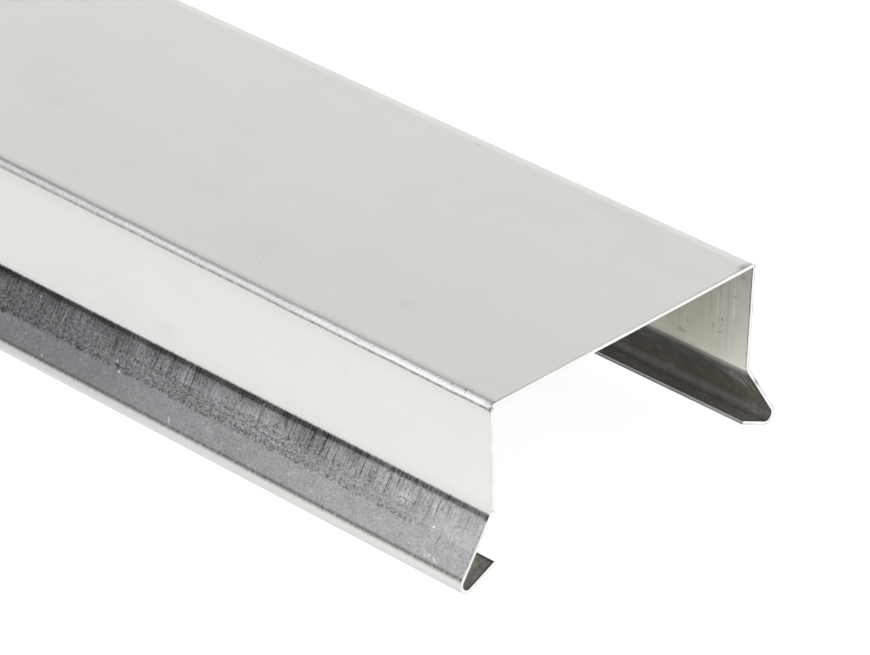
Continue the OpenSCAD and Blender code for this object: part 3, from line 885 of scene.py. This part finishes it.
# ------------------------------------------------------------------ inside face
def inner_material():
    m, t, bsdf = material("mill_aluminium_inside")
    x, s, w, side = sheet_coords(t)
    e = t.sub(END_X, x)
    end = t.math("MINIMUM", e, t.sub(x, FAR_X))
    sw = t.sub(s, DEV / 2)
    at = t.vec(e, sw)
    cloud = t.noise(t.vec(x, t.mul(s, 1.3)), 40.0, 3.0, 0.55)
    cloud2 = t.noise(t.vec(t.add(x, 4.0), s), 210.0, 3.0, 0.6)
    lines = t.noise(t.vec(t.mul(x, 9.0), t.mul(s, 1100.0)), 1.0, 3.0, 0.6)
    lines2 = t.noise(t.vec(t.mul(x, 2.2), t.mul(s, 320.0)), 1.0, 2.0, 0.5)
    grain = t.noise(t.vec(x, s), 4200.0, 2.0, 0.6)
    tone = t.add(
        0.74,
        t.mul(t.sub(cloud, 0.5), 0.08),
        t.mul(t.sub(cloud2, 0.5), 0.12),
        t.mul(t.sub(lines, 0.5), 0.030),
        t.mul(t.sub(lines2, 0.5), 0.015),
        t.mul(t.sub(grain, 0.5), 0.06),
    )
    height = t.add(t.mul(lines, 0.5), t.mul(grain, 0.5))
    shine = t.add(0.36, t.mul(t.sub(cloud, 0.5), 0.06), t.mul(t.sub(lines, 0.5), 0.06))
    # painted light and shade inside the channel: the legs darker further in from each cut end, most about 20 mm in, as
    # less light reaches there; the kicks a little lighter near the cut; the lips dark right at the cut, and the near
    # lip lighter than the far one
    on_leg = t.curve(end, (0.0, 0.85), (2 * MM, 0.79), (5 * MM, 0.73), (9 * MM, 0.65), (14 * MM, 0.57), (20 * MM, 0.50), (30 * MM, 0.53), (80 * MM, 0.84))
    on_leg = t.mix(t.span(w, 22 * MM, W_FOLD1), 0.95, on_leg, "FLOAT")
    kick_depth_light_and_shade = t.curve(end, (0.0, 1.12), (4 * MM, 1.18), (8 * MM, 1.18), (12 * MM, 1.13), (18 * MM, 1.07), (26 * MM, 1.08), (40 * MM, 1.06))
    lip_depth_shade = t.curve(end, (0.0, 0.42), (1 * MM, 0.60), (3 * MM, 0.77), (7.5 * MM, 0.74), (16 * MM, 0.72), (24 * MM, 0.74), (40 * MM, 0.74))
    lip_depth_shade = t.mul(lip_depth_shade, t.mix(side, 1.32, 1.0, "FLOAT"))
    kick_depth_light_and_shade = t.mix(t.span(w, W_HEM0 + 1.2 * MM, W_HEM1), kick_depth_light_and_shade, lip_depth_shade, "FLOAT")
    tone = t.mul(tone, t.mix(t.span(w, W_CREASE0 + 0.3 * MM, W_CREASE1 + 0.8 * MM), on_leg, kick_depth_light_and_shade, "FLOAT"))
    # painted shade inside the crease and just below it, deeper further from a cut end
    tone = t.mul(tone, t.sub(1.0, t.mul(t.band(w, W_CREASE0 + 0.6 * MM, 66.0 * MM, 1.4 * MM), t.span(end, 2 * MM, 22 * MM, 0.05, 0.37))))
    # painted shade: the inside darker towards the folds, most right under each fold, lighter again towards the crease
    tone = t.mul(tone, t.curve(w, (0.0, 0.92), (30 * MM, 0.90), (W_FOLD1, 0.63), (50 * MM, 0.715), (56 * MM, 0.80), (W_CREASE0 - 1 * MM, 0.875), (W_CREASE0, 0.92), (W_EDGE, 0.96)))
    # painted light and shade inside the kick, hem and lip: darker just past the crease and on the hem's bend, lighter
    # lower on the kick and on the lip, darker again at the free edge
    low = t.span(w, W_CREASE1 + 0.3 * MM, W_CREASE1 + 2.3 * MM)
    tone = t.mul(tone, t.sub(1.0, t.mul(low, 0.14)))
    tone = t.mul(tone, t.curve(w, (W_CREASE1 + 0.8 * MM, 1.18), (W_CREASE1 + 2.1 * MM, 0.72), (W_CREASE1 + 5 * MM, 0.70), (70 * MM, 0.95), (73 * MM, 1.12), (W_HEM0 - 1 * MM, 1.18), (W_HEM0 + 0.6 * MM, 1.08), (W_HEM0 + 2.2 * MM, 0.885), (W_HEM0 + 3.2 * MM, 0.93), (W_HEM1 - 0.8 * MM, 1.115), (W_HEM1 - 0.25 * MM, 1.158), (W_HEM1 + 1 * MM, 1.20), (84 * MM, 1.16), (86.5 * MM, 1.00), (W_EDGE, 0.82)))
    # painted shade in the hem's pocket: inside the hem's bend and, a little less, on the lip
    shaded_pocket = t.mul(t.span(w, W_HEM0 - 1 * MM, W_HEM0 + 1 * MM), t.span(w, W_HEM1 - 0.5 * MM, W_HEM1 + 1 * MM, 1.0, 0.72))
    tone = t.mul(tone, t.sub(1.0, t.mul(shaded_pocket, 0.30)))

    # light transverse drags on the legs
    drag = t.noise(t.vec(t.mul(x, 900.0), t.mul(s, 22.0)), 1.0, 2.0, 0.6)
    some = t.span(t.noise(t.vec(t.mul(x, 85.0), t.mul(side, 6.0)), 1.0, 2.0, 0.5), 0.52, 0.66)
    drags = t.mul(t.span(drag, 0.60, 0.72), some, t.band(w, W_FOLD1 + 1 * MM, W_CREASE0 - 3 * MM, 4 * MM))
    drags = t.mul(drags, 0.5)
    for ce, cs, re, rs, rot, k in ((8.3, 49.5, 0.26, 7.0, 0, 1.5), (6.8, 46.0, 0.30, 4.0, 0, 0.9), (4.2, 49.0, 0.34, 8.5, 0, 1.5), (5.3, 45.0, 0.15, 4.5, 0, 0.8), (16.6, 55.5, 0.32, 3.6, 0, 1.2), (11.3, 44.5, 0.16, 3.0, 0, 0.5), (7.6, 43.5, 0.14, 2.6, 0, 0.9), (9.3, 44.0, 0.13, 2.4, 0, 0.7), (5.9, 48.5, 0.12, 3.2, 0, 0.6), (3.0, 43.0, 0.16, 2.4, 0, 0.6), (13.5, 47.0, 0.14, 2.0, 0, 0.4)):
        drags = t.add(drags, t.mul(t.blob(at, ce, cs, re, rs, rot, 0.2, 1.0), k))
    drags = t.mul(drags, t.span(t.noise(t.vec(t.mul(x, 2500.0), t.mul(s, 500.0)), 1.0, 2.0, 0.6), 0.30, 0.62))
    tone = t.mul(tone, t.sub(1.0, t.mul(t.span(drag, 0.46, 0.32), t.band(w, W_FOLD1, W_CREASE0 - 2 * MM, 6 * MM), 0.11)))
    tone = t.add(tone, t.mul(drags, 0.11))
    height = t.add(height, t.mul(drags, 0.6))
    # light curved scratches on the kick and lip, on both flanges
    strokes = 0.0
    for ce, cs, r, wd, be, bs, br, k in ((22.0, 64.2, 1.3, 0.17, 21.4, 64.6, 1.2, 0.50), (26.0, 71.6, 1.9, 0.20, 26.5, 70.6, 2.2, 0.45), (16.0, 70.0, 2.3, 0.18, 17.0, 71.0, 1.9, 0.5)):
        strokes = t.add(strokes, t.mul(t.ring(at, ce, cs, r, wd), t.blob(at, be, bs, br, br, 0, 0.5, 1.0), k))
    for ce, cs, re, rs, rot, k in ((4.5, 67.3, 0.15, 4.2, 6, 0.75), (3.6, 69.8, 0.15, 5.2, 8, 0.85), (5.6, 66.5, 0.14, 3.4, 14, 0.65), (2.6, 66.0, 0.15, 3.6, 0, 0.72), (6.4, 68.4, 0.12, 3.8, 20, 0.70), (7.9, 67.2, 0.12, 2.6, 26, 0.55), (23.5, 72.0, 0.18, 2.4, -18, 0.5), (27.8, 70.6, 0.18, 2.4, 10, 0.5), (12.0, 64.6, 1.6, 0.20, 5, 0.35), (1.6, 68.5, 0.16, 4.0, 4, 0.65), (6.6, 71.0, 0.16, 2.8, 18, 0.75), (3.6, 73.2, 2.6, 2.4, 0, 0.045), (1.2, -84.0, 0.14, 2.0, 20, 0.5), (3.4, -83.5, 0.16, 2.6, -12, 0.6), (5.6, -84.5, 0.14, 1.8, 8, 0.5)):
        strokes = t.add(strokes, t.mul(t.blob(at, ce, cs, re, rs, rot, 0.2, 1.0), k))
    hair = t.voronoi(t.vec(t.add(t.mul(x, 160.0), t.mul(cloud2, 2.0)), t.add(t.mul(s, 70.0), t.mul(cloud, 2.0))), 1.0, feature="DISTANCE_TO_EDGE")
    hairs = t.mul(t.span(hair.outputs["Distance"], 0.0, 0.026, 1.0, 0.0), t.span(w, W_CREASE1, W_CREASE1 + 1 * MM), t.span(cloud2, 0.46, 0.60))
    strokes = t.add(strokes, t.mul(hairs, 0.50))
    tone = t.math("MINIMUM", t.add(tone, t.mul(strokes, 0.60)), 0.97)
    shine = t.add(shine, t.math("MINIMUM", t.mul(strokes, 0.60), 0.5))
    # dirt spots, with ragged outlines
    jag = t.sub(t.noise(t.vec(x, s), 1500.0, 2.0, 0.5), 0.5)
    jag2 = t.sub(t.noise(t.vec(t.add(x, 2.0), s), 1500.0, 2.0, 0.5), 0.5)
    ragged_at = t.vec(t.add(e, t.mul(jag, 1.0 * MM)), t.add(sw, t.mul(jag2, 1.0 * MM)))
    cells = t.voronoi(t.vec(x, s), 95.0)
    pick = t.node("ShaderNodeSeparateColor", {0: cells.outputs["Color"]})
    size = t.span(pick.outputs[1], 0.0, 1.0, 0.03, 0.11, smooth=False)
    speck = t.mul(t.span(t.math("DIVIDE", cells.outputs["Distance"], size), 0.35, 1.0, 1.0, 0.0), t.math("GREATER_THAN", pick.outputs[0], 0.80))
    speck = t.mul(speck, t.span(cloud2, 0.35, 0.65, 0.3, 1.0))
    height = t.sub(height, t.mul(speck, 0.8))
    dirt = t.mul(speck, 0.20)
    for ce, cs, re, rs, rot, k in ((17.7, 58.6, 1.2, 0.8, 0, 0.30), (16.6, 58.9, 0.8, 0.5, 0, 0.26), (7.1, 52.3, 0.30, 0.9, 10, 0.60), (7.25, 53.8, 0.22, 0.6, 0, 0.42), (7.6, 55.3, 1.5, 0.26, 14, 0.50), (9.3, 54.4, 0.2, 1.2, 0, 0.28), (15.9, 56.2, 0.6, 0.28, 15, 0.36), (9.6, 51.0, 1.6, 1.8, 0, 0.05), (3.8, 46.0, 1.3, 0.26, 30, 0.28), (12.5, 54.0, 2.5, 2.0, 0, 0.05), (2.3, 41.0, 0.8, 1.5, 0, 0.22), (6.4, 41.0, 0.5, 1.2, 0, 0.22), (19.8, 54.0, 2.0, 1.6, 0, 0.06)):
        dirt = t.add(dirt, t.mul(t.blob(ragged_at, ce, cs, re, rs, rot, 0.0, 1.0), k))
    tone = t.mul(tone, t.sub(1.0, t.math("MINIMUM", dirt, 0.8)))
    # painted shade of the burr: a dark line right along the cut, and a dull margin behind it
    cut_burr_shade = t.span(t.add(end, t.mul(jag, 0.25 * MM)), 0.12 * MM, 0.38 * MM, 1.0, 0.0)
    tone = t.mul(tone, t.sub(1.0, t.mul(cut_burr_shade, t.curve(w, (W_FOLD1, 0.88), (48 * MM, 0.80), (W_CREASE0, 0.58), (W_CREASE1, 0.72), (W_EDGE, 0.78)))))
    tone = t.mul(tone, t.sub(1.0, t.mul(t.span(end, 0.1 * MM, 0.6 * MM, 1.0, 0.0), t.span(w, W_CREASE0, W_HEM0, 0.05, 0.22))))
    # scuffs inside the lip, and its dull free edge
    lip = t.span(w, W_HEM1, W_HEM1 + 2 * MM)
    rub_l = t.noise(t.vec(t.mul(x, 700.0), t.mul(s, 900.0)), 1.0, 3.0, 0.7)
    tone = t.mul(tone, t.add(1.0, t.mul(t.span(w, W_CREASE1 + 0.3 * MM, W_CREASE1 + 2 * MM), t.sub(rub_l, 0.5), t.add(0.42, t.mul(lip, 0.58)), t.span(end, 6 * MM, 12 * MM, 1.6, 1.0))))
    tone = t.mul(tone, t.sub(1.0, t.mul(t.span(w, W_EDGE - 0.80 * MM, W_EDGE - 0.15 * MM), 0.70)))
    tint = t.mix(t.span(w, W_FOLD1, W_CREASE0), (1.0, 0.934, 0.775, 1.0), (1.0, 0.957, 0.830, 1.0))
    tint = t.mix(t.span(end, 1 * MM, 13 * MM, 0.65, 0.0), tint, (1.0, 0.978, 0.915, 1.0))
    tint = t.mix(t.span(w, W_CREASE0, W_CREASE1 + 0.8 * MM), tint, (1.0, 0.974, 0.893, 1.0))
    tint = t.mix(t.mul(t.span(w, 26 * MM, W_FOLD1), t.span(end, 0.035, 0.110, 1.0, 0.0)), (1.0, 1.000, 0.958, 1.0), tint)
    tint = t.mix(t.math("MINIMUM", t.mul(dirt, 1.5), 1.0), tint, (1.0, 0.90, 0.78, 1.0))
    tint = t.mix(t.mul(low, t.span(end, 1 * MM, 9 * MM, 0.60, 0.12), t.span(w, W_HEM0, W_HEM1, 1.0, 0.3)), tint, (1.0, 0.945, 0.90, 1.0))
    tint = t.mix(shaded_pocket, tint, (1.0, 0.965, 0.91, 1.0))
    t.set(bsdf.inputs["Base Color"], t.shade(tint, tone))
    bsdf.inputs["Metallic"].default_value = 1.0
    t.set(bsdf.inputs["Roughness"], t.add(shine, t.mul(shaded_pocket, 0.30)))
    bump = t.node("ShaderNodeBump")
    bump.inputs["Strength"].default_value = 0.4
    bump.inputs["Distance"].default_value = 0.012 * MM
    t.set(bump.inputs["Height"], height)
    t.set(bsdf.inputs["Normal"], bump.outputs[0])
    return m


# ------------------------------------------------------------------ cut edges
def edge_material():
    m, t, bsdf = material("cut_aluminium_edge")
    x, s, w, side = sheet_coords(t)
    # depth through the thickness: the map runs past the part's ends and sides on the cut faces
    at_far = t.sub(x, FAR_X)
    at_far = t.mix(t.math("GREATER_THAN", at_far, 1.01 * SHEET_T), at_far, -1.0, "FLOAT")
    past_end = t.math("MAXIMUM", t.sub(x, END_X), at_far)
    past_side = t.math("MAXIMUM", t.sub(s, DEV), t.mul(s, -1.0))
    through = t.math("MAXIMUM", past_end, past_side)
    on_cut = t.math("GREATER_THAN", through, 0.004 * MM)
    on_side = t.math("GREATER_THAN", past_side, 0.004 * MM)
    tear = t.noise(t.vec(t.mul(x, 900.0), t.mul(s, 3800.0)), 1.0, 3.0, 0.65)
    band = t.noise(t.vec(t.mul(x, 5200.0), t.mul(s, 120.0)), 1.0, 2.0, 0.5)
    slow = t.noise(t.vec(t.mul(x, 60.0), t.mul(s, 260.0)), 1.0, 3.0, 0.6)
    tone = t.add(0.95, t.mul(t.sub(tear, 0.5), 0.12), t.mul(t.sub(band, 0.5), 0.08))
    # the sheared face is darker in a thin line beside the inside face, strongest on the legs, and in a patchy one
    # beside the outside: painted shade of the burr and of the rollover
    wob = t.mul(t.sub(tear, 0.5), 0.10 * MM)
    burr_shade = t.span(t.add(through, wob), 0.04 * MM, 0.12 * MM, 1.0, 0.0)
    rollover_shade = t.span(t.sub(SHEET_T, t.add(through, wob)), 0.02 * MM, 0.09 * MM, 1.0, 0.0)
    patchy = t.span(slow, 0.36, 0.60)
    on_leg = t.mul(t.band(w, W_FOLD1 - 0.3 * MM, W_CREASE1, 1.0 * MM), side)
    rim = t.add(t.mul(burr_shade, t.add(0.10, t.mul(on_leg, 0.30), t.mul(patchy, 0.14))), t.mul(rollover_shade, patchy, t.span(w, W_CREASE1, W_CREASE1 + 2 * MM, 0.06, 0.26)))
    tone = t.mul(tone, t.sub(1.0, t.mul(rim, on_cut)))
    # the outer part of the sheared face is duller on the legs and flanges, and greyer still in one place on the far kick
    outer = t.mul(t.span(t.add(through, t.mul(wob, 1.6)), 0.42 * SHEET_T, 0.66 * SHEET_T), on_cut, t.span(w, W_FOLD0, W_FOLD1, 0.50, 1.0), t.mix(side, 0.55, 1.0, "FLOAT"))
    sw = t.sub(s, DEV / 2)
    tone = t.mul(tone, t.sub(1.0, t.mul(outer, t.span(slow, 0.34, 0.64, 0.16, 0.30))), t.sub(1.0, t.mul(t.near(sw, 65.9 * MM, 1.9 * MM), t.span(through, 0.02 * SHEET_T, 0.30 * SHEET_T), on_cut, 0.52)))
    tone = t.mul(tone, t.mix(on_cut, t.mul(t.span(slow, 0.30, 0.62, 0.92, 0.76), t.span(w, W_FOLD0, W_FOLD1, 0.80, 1.0)), 1.0, "FLOAT"))
    # the lips' free edges were slit: duller in the outer half, with a dark line where that half begins
    slit = t.curve(t.add(past_side, t.mul(wob, 0.8)), (0.0, 0.64), (0.20 * SHEET_T, 0.54), (0.34 * SHEET_T, 0.33), (0.44 * SHEET_T, 0.40), (0.56 * SHEET_T, 0.84), (0.78 * SHEET_T, 0.86), (0.92 * SHEET_T, 0.28), (SHEET_T, 0.18))
    slit = t.mul(slit, t.span(slow, 0.36, 0.62, 0.84, 1.14))
    tone = t.mul(tone, t.mix(on_side, 1.0, slit, "FLOAT"))
    for at_w, half, k in ((-37.9, 0.45, 0.55), (-38.5, 0.3, 0.25), (37.7, 0.5, 0.35), (-61.0, 0.4, 0.22)):
        tone = t.mul(tone, t.sub(1.0, t.mul(t.near(sw, at_w * MM, half * MM), k)))
    t.set(bsdf.inputs["Base Color"], t.shade((1.0, 0.993, 0.972, 1.0), t.math("MINIMUM", tone, 1.0)))
    bsdf.inputs["Metallic"].default_value = 1.0
    t.set(bsdf.inputs["Roughness"], t.add(0.34, t.mul(tear, 0.18), t.mul(on_side, 0.25)))
    bump = t.node("ShaderNodeBump")
    bump.inputs["Strength"].default_value = 0.4
    bump.inputs["Distance"].default_value = 0.015 * MM
    t.set(bump.inputs["Height"], t.add(tear, t.mul(band, 0.5)))
    t.set(bsdf.inputs["Normal"], bump.outputs[0])
    return m


for mat in (panel_material(), inner_material(), edge_material(), flange_material()):
    mesh.materials.append(mat)
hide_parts("fascia_cap")
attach(sheet, "root")

# ------------------------------------------------------------------ floor
floor_mesh = bpy.data.meshes.new("floor")
R = 30.0
floor_mesh.from_pydata([(-R, -R, 0), (R, -R, 0), (R, R, 0), (-R, R, 0)], [], [(0, 1, 2, 3)])
floor = bpy.data.objects.new("floor", floor_mesh)
floor.location.z = -0.00002
bpy.context.scene.collection.objects.link(floor)
fm, ft, fb = material("pale_floor")
fb.inputs["Base Color"].default_value = (0.38, 0.38, 0.379, 1.0)
fb.inputs["Roughness"].default_value = 0.9
fb.inputs["Specular IOR Level"].default_value = 0.0
fb.inputs["Emission Color"].default_value = (1.0, 1.0, 1.0, 1.0)
fb.inputs["Emission Strength"].default_value = 0.84
floor_mesh.materials.append(fm)

# ------------------------------------------------------------------ studio light
world = bpy.data.worlds.new("studio")
bpy.context.scene.world = world
world.use_nodes = True
wt = Tree(world.node_tree)
background = next(n for n in world.node_tree.nodes if n.type == "BACKGROUND")
direction = wt.node("ShaderNodeTexCoord").outputs["Generated"]
elev = wt.node("ShaderNodeSeparateXYZ", {0: direction}).outputs[2]


def lobe(d, inner, outer, amount):
    """A soft panel at infinity: full inside the inner angle, nothing past the outer one."""
    v = Vector(d).normalized()
    dot = wt.node("ShaderNodeVectorMath", operation="DOT_PRODUCT")
    wt.set(dot.inputs[0], direction)
    dot.inputs[1].default_value = v
    return wt.mul(wt.span(dot.outputs["Value"], math.cos(math.radians(outer)), math.cos(math.radians(inner))), amount)


light = wt.add(
    wt.span(elev, 0.22, 0.78, 1.0, 0.62),
    lobe((-0.593, -0.503, 0.627), 8, 36, 0.36),
)
wt.set(background.inputs["Strength"], light)
background.inputs["Color"].default_value = (1.0, 1.0, 1.0, 1.0)

# ------------------------------------------------------------------ camera
Rv = Vector((0.7231, 0.6906, 0.0096)).normalized()
Fv = Vector((-0.5930, 0.6279, -0.5040))
Fv = (Fv - Fv.dot(Rv) * Rv).normalized()
Uv = Rv.cross(Fv)
cam_data = bpy.data.cameras.new("camera")
cam_data.sensor_width = 36.0
cam_data.lens = 227.6
cam_data.clip_start = 0.05
cam_data.clip_end = 100.0
camera = bpy.data.objects.new("camera", cam_data)
bpy.context.scene.collection.objects.link(camera)
rot = Matrix((Rv, Uv, -Fv)).transposed().to_4x4()
camera.matrix_world = Matrix.Translation(Vector((END_X + 0.5996, -0.6885, TOP + 0.5329))) @ rot
bpy.context.scene.camera = camera

scene = bpy.context.scene
scene.view_settings.view_transform = "Standard"
scene.view_settings.look = "None"
scene.view_settings.exposure = 0.0
scene.view_settings.gamma = 1.0
